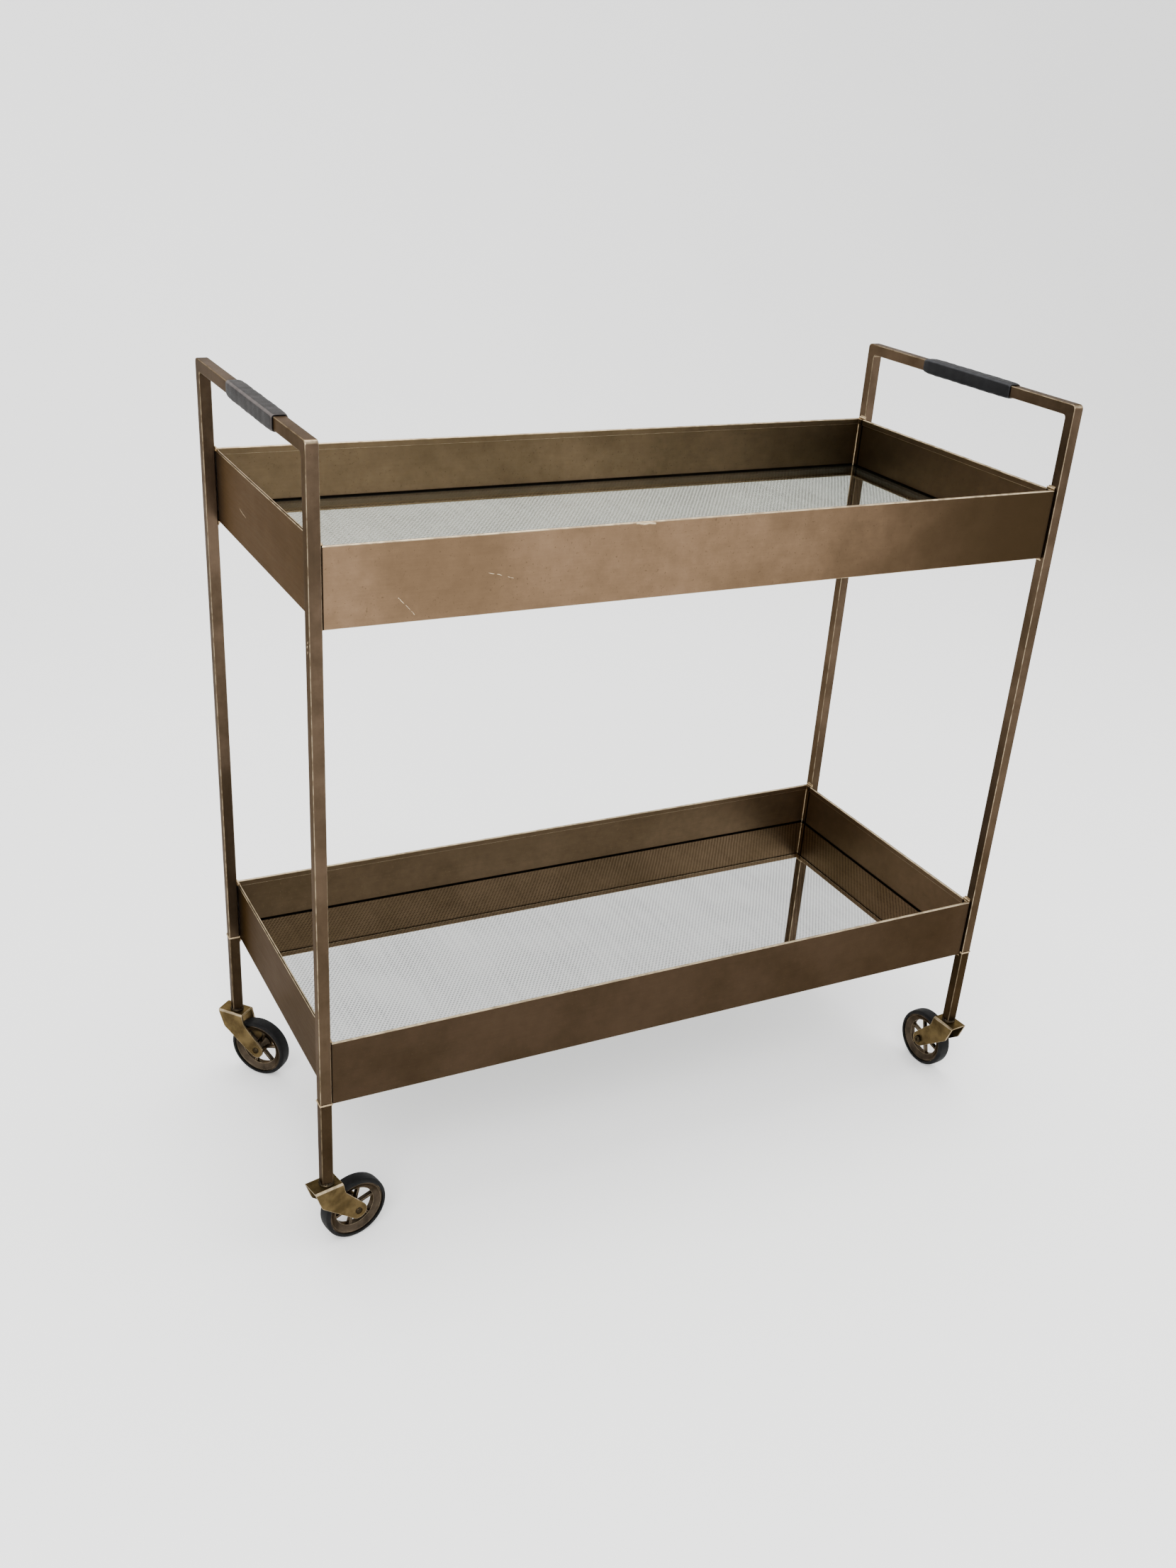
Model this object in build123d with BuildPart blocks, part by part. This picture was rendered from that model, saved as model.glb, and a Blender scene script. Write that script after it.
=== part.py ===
from build123d import *
import os
from math import asin, atan2, cos, hypot, radians, sin, sqrt

# A two-tier bar cart: two square-tube end frames carry two deep sheet trays, the upper one
# with a clear glass panel and the lower one with a mirror, both resting on a ledge. The top
# bars are the handles, and every post ends in a short leg on a swivel caster.
# Millimetres. X runs along the cart, Y across it, Z up. The floor is Z = 0.

# Overall
CART_LENGTH = 864.0         # over the posts' outer faces, along X
CART_WIDTH = 374.0          # over the posts' outer faces, along Y
HANDLE_TOP = 883.0          # top face of the handle bars

# Square tube of the end frames and legs
TUBE = 12.7
TUBE_WALL = 1.5
TUBE_EDGE = 1.3             # rounding along the tube's edges
HANDLE_OUTER_RADIUS = 5.0   # dressed outer corner where post and handle meet
HANDLE_INNER_RADIUS = 3.5

# Trays
UPPER_TRAY_BOTTOM = 713.5
LOWER_TRAY_BOTTOM = 190.0
TRAY_HEIGHT = 77.0
TRAY_INSET = 3.0            # tray walls stand this far inside the posts' outer faces
TRAY_GAP = 0.5              # between a tray's end wall and the posts
SHEET = 1.6
HEM = 7.0                   # rim folded down on the inside
LIP = 5.0                   # lower edge folded inwards
RIM_EDGE = 1.2
TRAY_CORNER = 2.0
LEDGE_RISE = 12.0           # top of the ledge above the tray's lower edge
LEDGE_WIDTH = 10.0
LEDGE_DROP = 8.0            # depth of the ledge's flange, welded to the walls
PANEL_THICKNESS = 5.0
PANEL_GAP = 2.0             # between a glass panel and the tray wall
PANEL_CORNER = 2.0
PANEL_BEVEL = 0.8

# Welds
RIM_WELD = 3.5              # leg of the fillet weld between rim and post
WELD_RUN = 10.0
WELD_BITE = 0.3             # how far a weld melts into the post
RIM_WELD_BITE = 1.0         # how far a weld melts into the tray's rounded edge
RING_WELD_PROUD = 0.45
RING_WELD_HEIGHT = 1.8

# Grips
GRIP_LENGTH = 156.0
GRIP_SIZE = 17.5
GRIP_EDGE = 3.6
GRIP_END_TAPER = 1.6
GRIP_CLEARANCE = 0.2
GRIP_OFFSET = {"left": -16.0, "right": -5.0}     # both sleeves sit forward of the middle

# Legs and casters
LEG_BOTTOM = 88.0
LEG_JOINT_RISE = 2.6        # butt weld between post and leg, above the lower tray's edge
INSERT_LENGTH = 20.0
THREAD_LENGTH = 18.0
PIVOT_RADIUS = 4.0
RUNNING_FIT = 0.06          # radial clearance of pivot and axle
SWIVEL_GAP = 0.2
FLANGE_RADIUS = 7.5
FLANGE_THICKNESS = 1.2
WASHER_RADIUS = 8.5
WASHER_THICKNESS = 1.6
RIVET_RADIUS = 6.3
RIVET_HEIGHT = 2.4

FORK_WIDTH = 25.0
FORK_SHEET = 2.2
FORK_BEND = 3.0
FORK_BACK = -20.0           # rear end of the top plate, along the fork
FORK_FRONT = 14.0
REAR_KNEE = (-12.0, 62.0)   # along the fork, above the floor
FRONT_KNEE = (17.0, 71.0)
CHEEK_END_RADIUS = 10.0

WHEEL_RADIUS = 38.0
TRAIL = 33.0                # wheel axle behind the swivel axis
TYRE_WIDTH = 17.0
RIM_RADIUS = 33.2
RIM_WIDTH = 14.0
DISH_RADIUS = 24.0          # inner edge of the dished rim
DISH_WIDTH = 7.0
SPOKE_COUNT = 6
SPOKE_WIDTH = 2.6
SPOKE_THICKNESS = 5.5
HUB_RADIUS = 8.2
HUB_WIDTH = 18.6
BUSHING_RADIUS = 5.0
BUSHING_WIDTH = 19.6
AXLE_RADIUS = 3.0
BOLT_HEAD_RADIUS = 4.0
BOLT_HEAD_HEIGHT = 2.6
NUT_RADIUS = 5.0
NUT_HEIGHT = 3.0

# Side of the cart in X, side in Y, and the fork's heading in degrees from +X
CORNERS = {
    "front_left": (-1, -1, 12.0),
    "rear_left": (-1, 1, -49.0),
    "front_right": (1, -1, 95.0),
    "rear_right": (1, 1, 205.0),
}
ENDS = {"left": -1, "right": 1}
TRAYS = {"upper": UPPER_TRAY_BOTTOM, "lower": LOWER_TRAY_BOTTOM}
PANELS = {"upper": "upper_glass", "lower": "lower_mirror"}

POST_X = (CART_LENGTH - TUBE) / 2
POST_Y = (CART_WIDTH - TUBE) / 2
POST_BOTTOM = LOWER_TRAY_BOTTOM + LEG_JOINT_RISE
TRAY_LENGTH = CART_LENGTH - 2 * TUBE - 2 * TRAY_GAP
TRAY_WIDTH = CART_WIDTH - 2 * TRAY_INSET
INNER_LENGTH = TRAY_LENGTH - 2 * SHEET
INNER_WIDTH = TRAY_WIDTH - 2 * SHEET
PLATE_TOP = LEG_BOTTOM - FLANGE_THICKNESS - WASHER_THICKNESS - SWIVEL_GAP
PLATE_BOTTOM = PLATE_TOP - FORK_SHEET


def save(builder, name):
    """Label a finished piece and write it to its own file."""
    builder.part.label = name
    export_step(builder.part, f"parts/{name}.step")


# ---------------------------------------------------------------- end frames

def frame_outline(plane, inset):
    """The upside-down U of an end frame, every side moved in by inset."""
    half = CART_WIDTH / 2 - inset
    inner = CART_WIDTH / 2 - TUBE + inset
    top = HANDLE_TOP - inset
    underside = HANDLE_TOP - TUBE + inset
    with BuildSketch(plane) as outline:
        with BuildLine():
            Polyline(
                (-half, POST_BOTTOM), (-half, top), (half, top), (half, POST_BOTTOM),
                (inner, POST_BOTTOM), (inner, underside), (-inner, underside), (-inner, POST_BOTTOM),
                close=True,
            )
        make_face()
        highest = outline.vertices().group_by(Axis.Y)
        fillet(highest[-1], HANDLE_OUTER_RADIUS - inset)
        fillet(outline.vertices().group_by(Axis.Y)[1], HANDLE_INNER_RADIUS + inset)
    return outline.sketch


def end_frame(side):
    """Hollow square tube: two posts and the handle bar."""
    face_x = side * POST_X - TUBE / 2
    with BuildPart() as part:
        extrude(frame_outline(Plane.YZ.offset(face_x), 0), amount=TUBE)
        long_edges = part.faces().filter_by(Axis.X).edges()
        fillet(long_edges - part.faces().filter_by(Axis.Z).edges().filter_by(Axis.Y), TUBE_EDGE)
        bore = frame_outline(Plane.YZ.offset(face_x + TUBE_WALL), TUBE_WALL)
        extrude(bore, amount=TUBE - 2 * TUBE_WALL, mode=Mode.SUBTRACT)
    return part


def grip(name, side):
    """Leather sleeve round the middle of a handle bar."""
    start = GRIP_OFFSET[name] - GRIP_LENGTH / 2
    bar = Plane(
        origin=(side * POST_X, start, HANDLE_TOP - TUBE / 2), x_dir=(1, 0, 0), z_dir=(0, 1, 0)
    )
    with BuildPart() as part:
        with BuildSketch(bar):
            RectangleRounded(GRIP_SIZE, GRIP_SIZE, GRIP_EDGE)
        extrude(amount=GRIP_LENGTH)
        ends = part.faces().filter_by(Axis.Y)
        chamfer(ends.edges(), GRIP_END_TAPER)
        with BuildSketch(bar):
            RectangleRounded(TUBE + 2 * GRIP_CLEARANCE, TUBE + 2 * GRIP_CLEARANCE, TUBE_EDGE)
        extrude(amount=GRIP_LENGTH, mode=Mode.SUBTRACT)
    return part


# --------------------------------------------------------------------- trays

def band(plane, length, width, thickness):
    """A rectangular frame of sheet inside length by width, as a sketch."""
    with BuildSketch(plane) as ring:
        Rectangle(length, width)
        Rectangle(length - 2 * thickness, width - 2 * thickness, mode=Mode.SUBTRACT)
    return ring.sketch


def tray_walls(bottom):
    """Four walls with a hemmed rim and a lower edge folded inwards."""
    top = bottom + TRAY_HEIGHT
    with BuildPart() as part:
        extrude(band(Plane.XY.offset(bottom), TRAY_LENGTH, TRAY_WIDTH, SHEET), amount=TRAY_HEIGHT)
        extrude(band(Plane.XY.offset(top - HEM), INNER_LENGTH, INNER_WIDTH, SHEET), amount=HEM)
        extrude(band(Plane.XY.offset(bottom), INNER_LENGTH, INNER_WIDTH, LIP), amount=SHEET)
        outer_corners = part.edges().filter_by(Axis.Z).sort_by(Edge.length)[-4:]
        fillet(outer_corners, TRAY_CORNER)
        fillet(part.faces().sort_by(Axis.Z)[-1].edges(), RIM_EDGE)
        fillet(part.faces().sort_by(Axis.Z)[0].outer_wire().edges(), RIM_EDGE)
    return part


def tray_ledge(bottom):
    """Angle frame inside the walls that carries the loose panel."""
    top = bottom + LEDGE_RISE
    with BuildPart() as part:
        shelf = band(Plane.XY.offset(top - SHEET), INNER_LENGTH, INNER_WIDTH, LEDGE_WIDTH)
        extrude(shelf, amount=SHEET)
        flange = band(Plane.XY.offset(top - LEDGE_DROP), INNER_LENGTH, INNER_WIDTH, SHEET)
        extrude(flange, amount=LEDGE_DROP)
    return part


def glass_panel(bottom):
    """Loose pane with bevelled edges lying on the ledge."""
    with BuildPart() as part:
        with BuildSketch(Plane.XY.offset(bottom + LEDGE_RISE)):
            RectangleRounded(INNER_LENGTH - 2 * PANEL_GAP, INNER_WIDTH - 2 * PANEL_GAP, PANEL_CORNER)
        extrude(amount=PANEL_THICKNESS)
        chamfer(part.faces().sort_by(Axis.Z)[-1].edges(), PANEL_BEVEL)
    return part


def tray_welds(bottom):
    """Fillet welds between the posts and the tray's rim and lower edge."""
    face_x = CART_LENGTH / 2 - TUBE
    middle_y = (TRAY_WIDTH - WELD_RUN) / 2 - TRAY_CORNER
    hollow = RIM_WELD * (1 - cos(radians(45)))
    levels = ((bottom + TRAY_HEIGHT, 1), (bottom, -1))
    with BuildPart() as part:
        for side_x in (-1, 1):
            for side_y in (-1, 1):
                for level, up in levels:
                    plane = Plane(
                        origin=(side_x * face_x, side_y * middle_y, level),
                        x_dir=(-side_x, 0, 0), z_dir=(0, side_x * up, 0),
                    )
                    with BuildSketch(plane):
                        with BuildLine():
                            Polyline(
                                (0, RIM_WELD), (-WELD_BITE, RIM_WELD), (-WELD_BITE, -RIM_WELD_BITE),
                                (RIM_WELD, -RIM_WELD_BITE), (RIM_WELD, 0),
                            )
                            ThreePointArc((RIM_WELD, 0), (hollow, hollow), (0, RIM_WELD))
                        make_face()
                    extrude(amount=WELD_RUN / 2, both=True)
    return part


# ---------------------------------------------------------------------- legs

def square_plane(corner, height):
    """Level plane on a post's axis."""
    side_x, side_y, _ = CORNERS[corner]
    return Plane(origin=(side_x * POST_X, side_y * POST_Y, height))


def leg(corner):
    """Short tube between the lower tray's weld line and the caster."""
    with BuildPart() as part:
        with BuildSketch(square_plane(corner, LEG_BOTTOM)):
            RectangleRounded(TUBE, TUBE, TUBE_EDGE)
            Rectangle(TUBE - 2 * TUBE_WALL, TUBE - 2 * TUBE_WALL, mode=Mode.SUBTRACT)
        extrude(amount=POST_BOTTOM - LEG_BOTTOM)
    return part


def leg_insert(corner):
    """Threaded plug pressed into the leg's lower end."""
    with BuildPart() as part:
        with BuildSketch(square_plane(corner, LEG_BOTTOM)):
            Rectangle(TUBE - 2 * TUBE_WALL, TUBE - 2 * TUBE_WALL)
            Circle(PIVOT_RADIUS, mode=Mode.SUBTRACT)
        extrude(amount=INSERT_LENGTH)
    return part


def leg_welds():
    """Dressed weld rings where the posts meet the legs."""
    proud = TUBE + 2 * RING_WELD_PROUD
    with BuildPart() as part:
        for corner in CORNERS:
            with BuildSketch(square_plane(corner, POST_BOTTOM - RING_WELD_HEIGHT / 2)):
                RectangleRounded(proud, proud, TUBE_EDGE + RING_WELD_PROUD)
                RectangleRounded(TUBE, TUBE, TUBE_EDGE, mode=Mode.SUBTRACT)
            extrude(amount=RING_WELD_HEIGHT)
    return part


# ------------------------------------------------------------------- casters

def directions(corner):
    """Unit vectors along the fork and to its right."""
    heading = radians(CORNERS[corner][2])
    along = Vector(cos(heading), sin(heading), 0)
    right = Vector(sin(heading), -cos(heading), 0)
    return along, right


def swivel_point(corner):
    side_x, side_y, _ = CORNERS[corner]
    return Vector(side_x * POST_X, side_y * POST_Y, 0)


def axle_point(corner):
    along, _ = directions(corner)
    return swivel_point(corner) + along * TRAIL + Vector(0, 0, WHEEL_RADIUS)


def cheek_plane(corner):
    """Upright plane through the swivel axis: x along the fork, y up."""
    along, right = directions(corner)
    return Plane(origin=swivel_point(corner), x_dir=along, z_dir=right)


def axle_section(corner):
    """Plane through the axle: x along the axle, y away from it."""
    along, right = directions(corner)
    return Plane(origin=axle_point(corner), x_dir=right, z_dir=-along)


def wheel_plane(corner):
    """Middle plane of the wheel, centred on the axle."""
    along, right = directions(corner)
    return Plane(origin=axle_point(corner), x_dir=along, z_dir=right)


def axle_axis(corner):
    return Axis(axle_point(corner), directions(corner)[1])


def swivel_section(corner):
    """Upright plane through the swivel axis for turned pieces: x outwards, y up."""
    return cheek_plane(corner)


def swivel_axis(corner):
    return Axis(swivel_point(corner), (0, 0, 1))


def caster_stem(corner):
    """Stem: thread, flange, plain pivot and the riveted head under the fork."""
    flange_bottom = LEG_BOTTOM - FLANGE_THICKNESS
    head_top = PLATE_BOTTOM - SWIVEL_GAP
    thread_top = LEG_BOTTOM + THREAD_LENGTH
    with BuildPart() as part:
        with BuildSketch(swivel_section(corner)):
            with BuildLine():
                Polyline(
                    (RIVET_RADIUS - 1.5, head_top - RIVET_HEIGHT), (0, head_top - RIVET_HEIGHT),
                    (0, thread_top), (PIVOT_RADIUS - 1, thread_top), (PIVOT_RADIUS, thread_top - 1),
                    (PIVOT_RADIUS, LEG_BOTTOM), (FLANGE_RADIUS, LEG_BOTTOM),
                    (FLANGE_RADIUS, flange_bottom), (PIVOT_RADIUS, flange_bottom),
                    (PIVOT_RADIUS, head_top), (RIVET_RADIUS, head_top),
                )
                Line((RIVET_RADIUS, head_top), (RIVET_RADIUS, head_top - 0.8))
                TangentArc(
                    (RIVET_RADIUS, head_top - 0.8), (RIVET_RADIUS - 1.5, head_top - RIVET_HEIGHT),
                    tangent=(0, -1),
                )
            make_face()
        revolve(axis=swivel_axis(corner))
    return part


def swivel_washer(corner):
    """Turned race washer between the stem's flange and the fork."""
    top = LEG_BOTTOM - FLANGE_THICKNESS
    with BuildPart() as part:
        with BuildSketch(square_plane(corner, top - WASHER_THICKNESS)):
            Circle(WASHER_RADIUS)
            Circle(PIVOT_RADIUS + SWIVEL_GAP, mode=Mode.SUBTRACT)
        extrude(amount=WASHER_THICKNESS)
        chamfer(part.faces().sort_by(Axis.Z)[-1].outer_wire().edges(), 0.6)
    return part


def touch_point(start, centre, radius, side):
    """Where a straight edge from start touches a circle, left (1) or right (-1) of its centre."""
    reach_x = centre[0] - start[0]
    reach_y = centre[1] - start[1]
    distance = hypot(reach_x, reach_y)
    bearing = atan2(reach_y, reach_x) + side * asin(radius / distance)
    length = sqrt(distance**2 - radius**2)
    return (start[0] + length * cos(bearing), start[1] + length * sin(bearing))


def fork(corner):
    """Sheet fork folded from one blank: top plate and two swept cheeks."""
    along, right = directions(corner)
    axle = (TRAIL, WHEEL_RADIUS)
    low = touch_point(REAR_KNEE, axle, CHEEK_END_RADIUS, -1)
    high = touch_point(FRONT_KNEE, axle, CHEEK_END_RADIUS, 1)
    tip_angle = atan2(axle[1] - REAR_KNEE[1], axle[0] - REAR_KNEE[0])
    tip = (axle[0] + CHEEK_END_RADIUS * cos(tip_angle), axle[1] + CHEEK_END_RADIUS * sin(tip_angle))
    across = Plane(
        origin=swivel_point(corner) + along * (FORK_BACK - 1), x_dir=-right, z_dir=along
    )
    reach = TRAIL + CHEEK_END_RADIUS - FORK_BACK + 2
    with BuildPart() as part:
        with BuildSketch(cheek_plane(corner).offset(-FORK_WIDTH / 2)) as cheek:
            with BuildLine():
                Polyline((FORK_BACK, PLATE_TOP), REAR_KNEE, low)
                ThreePointArc(low, tip, high)
                Polyline(high, FRONT_KNEE, (FORK_FRONT, PLATE_TOP), (FORK_BACK, PLATE_TOP))
            make_face()
            for knee in (REAR_KNEE, FRONT_KNEE):
                fillet(cheek.vertices().sort_by_distance((*knee, 0))[0], 5)
        extrude(amount=FORK_WIDTH)
        top_edges = part.faces().sort_by(Axis.Z)[-1].edges()
        fillet(top_edges.filter_by(Axis((0, 0, 0), along)), FORK_BEND)
        with BuildSketch(across) as inside:
            with Locations((0, PLATE_BOTTOM / 2)):
                Rectangle(FORK_WIDTH - 2 * FORK_SHEET, PLATE_BOTTOM)
            fillet(inside.vertices().group_by(Axis.Y)[-1], FORK_BEND - FORK_SHEET)
        extrude(amount=reach, mode=Mode.SUBTRACT)
        with BuildSketch(square_plane(corner, PLATE_BOTTOM)):
            Circle(PIVOT_RADIUS + RUNNING_FIT)
        extrude(amount=FORK_SHEET, mode=Mode.SUBTRACT)
        with BuildSketch(wheel_plane(corner)):
            Circle(AXLE_RADIUS)
        extrude(amount=FORK_WIDTH, both=True, mode=Mode.SUBTRACT)
    return part


def axle_bolt(corner):
    """Axle with a low domed head on the fork's right-hand cheek."""
    cheek = FORK_WIDTH / 2
    thread_end = -(cheek + NUT_HEIGHT + 0.6)
    with BuildPart() as part:
        with BuildSketch(axle_section(corner)):
            with BuildLine():
                Polyline(
                    (cheek + BOLT_HEAD_HEIGHT, 0), (thread_end, 0), (thread_end, AXLE_RADIUS - 0.5),
                    (thread_end + 0.5, AXLE_RADIUS), (cheek, AXLE_RADIUS), (cheek, BOLT_HEAD_RADIUS),
                    (cheek + 0.8, BOLT_HEAD_RADIUS),
                )
                TangentArc(
                    (cheek + BOLT_HEAD_HEIGHT, 0), (cheek + 0.8, BOLT_HEAD_RADIUS), tangent=(0, 1)
                )
            make_face()
        revolve(axis=axle_axis(corner))
    return part


def axle_nut(corner):
    """Hexagon nut on the fork's left-hand cheek."""
    with BuildPart() as part:
        with BuildSketch(wheel_plane(corner).offset(-FORK_WIDTH / 2 - NUT_HEIGHT)):
            RegularPolygon(NUT_RADIUS, 6)
            Circle(AXLE_RADIUS, mode=Mode.SUBTRACT)
        extrude(amount=NUT_HEIGHT)
    return part


def wheel(corner):
    """Cast wheel: dished rim, spokes and hub."""
    rim_half = RIM_WIDTH / 2
    dish_half = DISH_WIDTH / 2
    hub_half = HUB_WIDTH / 2
    spoke_inner = HUB_RADIUS - 1
    spoke_outer = DISH_RADIUS + 1
    with BuildPart() as part:
        with BuildSketch(axle_section(corner)):
            with BuildLine():
                Polyline((-rim_half, RIM_RADIUS - 2.2), (-rim_half, RIM_RADIUS),
                         (rim_half, RIM_RADIUS), (rim_half, RIM_RADIUS - 2.2))
                ThreePointArc(
                    (rim_half, RIM_RADIUS - 2.2), (dish_half + 1.2, DISH_RADIUS + 3.4),
                    (dish_half, DISH_RADIUS),
                )
                Line((dish_half, DISH_RADIUS), (-dish_half, DISH_RADIUS))
                ThreePointArc(
                    (-dish_half, DISH_RADIUS), (-dish_half - 1.2, DISH_RADIUS + 3.4),
                    (-rim_half, RIM_RADIUS - 2.2),
                )
            make_face()
        revolve(axis=axle_axis(corner))
        with BuildSketch(axle_section(corner)):
            with BuildLine():
                Polyline((-hub_half, 0), (-hub_half, HUB_RADIUS - 1), (1 - hub_half, HUB_RADIUS),
                         (hub_half - 1, HUB_RADIUS), (hub_half, HUB_RADIUS - 1), (hub_half, 0),
                         close=True)
            make_face()
        revolve(axis=axle_axis(corner))
        with BuildSketch(wheel_plane(corner).offset(-SPOKE_THICKNESS / 2)):
            with PolarLocations((spoke_inner + spoke_outer) / 2, SPOKE_COUNT, start_angle=15):
                Rectangle(spoke_outer - spoke_inner, SPOKE_WIDTH)
        extrude(amount=SPOKE_THICKNESS)
        with BuildSketch(wheel_plane(corner).offset(-hub_half)):
            Circle(BUSHING_RADIUS)
        extrude(amount=HUB_WIDTH, mode=Mode.SUBTRACT)
    return part


def tyre(corner):
    """Rubber ring with a crowned tread and rounded shoulders."""
    half = TYRE_WIDTH / 2
    shoulder = 3.0
    with BuildPart() as part:
        with BuildSketch(axle_section(corner)):
            with BuildLine():
                Polyline((-half, WHEEL_RADIUS - shoulder), (-half, RIM_RADIUS), (half, RIM_RADIUS),
                         (half, WHEEL_RADIUS - shoulder))
                ThreePointArc((half, WHEEL_RADIUS - shoulder), (half - 1.0, WHEEL_RADIUS - 1.1),
                              (half - shoulder, WHEEL_RADIUS - 0.3))
                ThreePointArc((half - shoulder, WHEEL_RADIUS - 0.3), (0, WHEEL_RADIUS),
                              (shoulder - half, WHEEL_RADIUS - 0.3))
                ThreePointArc((shoulder - half, WHEEL_RADIUS - 0.3), (1.0 - half, WHEEL_RADIUS - 1.1),
                              (-half, WHEEL_RADIUS - shoulder))
            make_face()
        revolve(axis=axle_axis(corner))
    return part


def hub_bushing(corner):
    """Bearing bush pressed into the hub; the axle runs in it."""
    with BuildPart() as part:
        with BuildSketch(wheel_plane(corner).offset(-BUSHING_WIDTH / 2)):
            Circle(BUSHING_RADIUS)
            Circle(AXLE_RADIUS + RUNNING_FIT, mode=Mode.SUBTRACT)
        extrude(amount=BUSHING_WIDTH)
    return part


# --------------------------------------------------------------------- write

CORNER_PIECES = {
    "leg": leg,
    "leg_insert": leg_insert,
    "caster_stem": caster_stem,
    "swivel_washer": swivel_washer,
    "fork": fork,
    "axle_bolt": axle_bolt,
    "axle_nut": axle_nut,
    "wheel": wheel,
    "tyre": tyre,
    "hub_bushing": hub_bushing,
}

os.makedirs("parts", exist_ok=True)
for end, side in ENDS.items():
    save(end_frame(side), f"{end}_end_frame")
    save(grip(end, side), f"{end}_grip")
for tier, bottom in TRAYS.items():
    save(tray_walls(bottom), f"{tier}_tray_walls")
    save(tray_ledge(bottom), f"{tier}_tray_ledge")
    save(glass_panel(bottom), PANELS[tier])
    save(tray_welds(bottom), f"{tier}_tray_welds")
save(leg_welds(), "leg_welds")
for corner in CORNERS:
    for piece, make in CORNER_PIECES.items():
        save(make(corner), f"{piece}_{corner}")
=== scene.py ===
import math

import bmesh
import bpy
from mathutils import Euler, Matrix, Vector


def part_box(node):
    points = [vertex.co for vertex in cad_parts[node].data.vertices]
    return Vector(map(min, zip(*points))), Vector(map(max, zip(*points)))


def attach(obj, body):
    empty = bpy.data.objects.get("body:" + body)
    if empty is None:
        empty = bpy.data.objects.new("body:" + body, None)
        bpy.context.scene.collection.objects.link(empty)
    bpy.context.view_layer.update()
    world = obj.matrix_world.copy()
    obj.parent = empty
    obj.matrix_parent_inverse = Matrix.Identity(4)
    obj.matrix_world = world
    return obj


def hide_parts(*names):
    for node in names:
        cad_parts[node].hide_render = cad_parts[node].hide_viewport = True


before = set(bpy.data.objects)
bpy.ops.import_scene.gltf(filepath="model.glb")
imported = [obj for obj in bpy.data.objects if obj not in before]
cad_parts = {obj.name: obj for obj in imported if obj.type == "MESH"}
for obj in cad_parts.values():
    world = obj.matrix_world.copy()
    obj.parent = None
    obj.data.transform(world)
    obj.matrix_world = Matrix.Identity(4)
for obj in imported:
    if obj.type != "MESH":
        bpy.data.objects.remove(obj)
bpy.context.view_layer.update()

bl_info = {
    "name": "Bar Cart Finishes",
    "version": (1, 0, 0),
    "blender": (4, 5, 0),
    "location": "3D View > Sidebar > Bar Cart",
    "description": "Finishes, leather sleeves, welds and a studio for a two-tier bar cart",
    "category": "Object",
}

# Names used throughout -------------------------------------------------------

CORNERS = ("front_left", "rear_left", "front_right", "rear_right")
ENDS = ("left", "right")
TIERS = ("upper", "lower")
MM = 0.001

# Sizes shared with the frame --------------------------------------------------

POST_SIDE = 12.9 * MM           # post's width and the joint beside it
BAR_REACH = 6.45 * MM           # from the middle of a handle bar to the inside of its sleeve
HEM_DEPTH = 7.5 * MM            # from a tray's rim to the lower edge of its hem
PANEL_CLEARANCE = 1.5 * MM      # from a panel's edge to the middle of a corner seam

# Fine detail of the finishes --------------------------------------------------

# The bright line along a rim is a painted highlight.
RIM_LINE = (-1.5 * MM, -0.5 * MM)   # where the bright line along a rim starts and is full
BRUSH_HEIGHT = 0.2 * MM         # depth of brushed lines in the metals
GRAIN_HEIGHT = 0.25 * MM        # depth of the leather's grain
FINE_HEIGHT = 0.1 * MM          # depth of rubber's texture and a thread's twist
GLASS_EDGE = 0.8 * MM           # polished edge of a panel
LEATHER_EDGE = 1.4 * MM         # rubbed edge of the leather
SMALL_EDGE = 0.5 * MM           # worn edge of welds, bolts and stems
SCRATCH_WIDTH = 0.35 * MM
SCRATCH_WOBBLE = 0.003          # how far a scratch wanders off its line


# Sizes and colours a user would change ---------------------------------------

class CartPatina(bpy.types.PropertyGroup):
    """Colours and wear of the aged brass, with the colours of its painted shade and painted highlights"""

    tone: bpy.props.FloatVectorProperty(
        name="Tone", description="Main colour of the aged brass",
        subtype="COLOR", size=3, default=(0.2, 0.129, 0.077), min=0, max=1)
    shade: bpy.props.FloatVectorProperty(
        name="Shade", description="Colour of the darker patina clouds",
        subtype="COLOR", size=3, default=(0.068, 0.043, 0.021), min=0, max=1)
    # Colour that the painted shade darkens towards: low down, on the ends and along x.
    painted_shade_colour: bpy.props.FloatVectorProperty(
        name="Painted shade colour", description="Colour where the patina is darkest",
        subtype="COLOR", size=3, default=(0.026, 0.0165, 0.0078), min=0, max=1)
    # Also the colour of the painted highlights along edges, folds and rims.
    worn_and_highlight: bpy.props.FloatVectorProperty(
        name="Worn and highlight", description="Colour of edges rubbed bright",
        subtype="COLOR", size=3, default=(0.72, 0.58, 0.38), min=0, max=1)
    grazing: bpy.props.FloatVectorProperty(
        name="Grazing", description="Tint of the reflection seen at a shallow angle",
        subtype="COLOR", size=3, default=(0.48, 0.45, 0.425), min=0, max=1)
    edge: bpy.props.FloatProperty(
        name="Edge width", description="Width of the bright line along worn edges",
        subtype="DISTANCE", unit="LENGTH", default=0.9 * MM, min=0)


class CartGrip(bpy.types.PropertyGroup):
    """Leather sleeve round a handle bar"""

    wall: bpy.props.FloatProperty(
        name="Leather", description="Thickness of the leather at the sleeve's ends",
        subtype="DISTANCE", unit="LENGTH", default=1.5 * MM, min=0)
    corner: bpy.props.FloatProperty(
        name="Corner", description="Rounding of the sleeve's long edges",
        subtype="DISTANCE", unit="LENGTH", default=3.6 * MM, min=0)
    pitch: bpy.props.FloatProperty(
        name="Stitch pitch", description="Distance from stitch to stitch",
        subtype="DISTANCE", unit="LENGTH", default=4.0 * MM, min=0)


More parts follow.
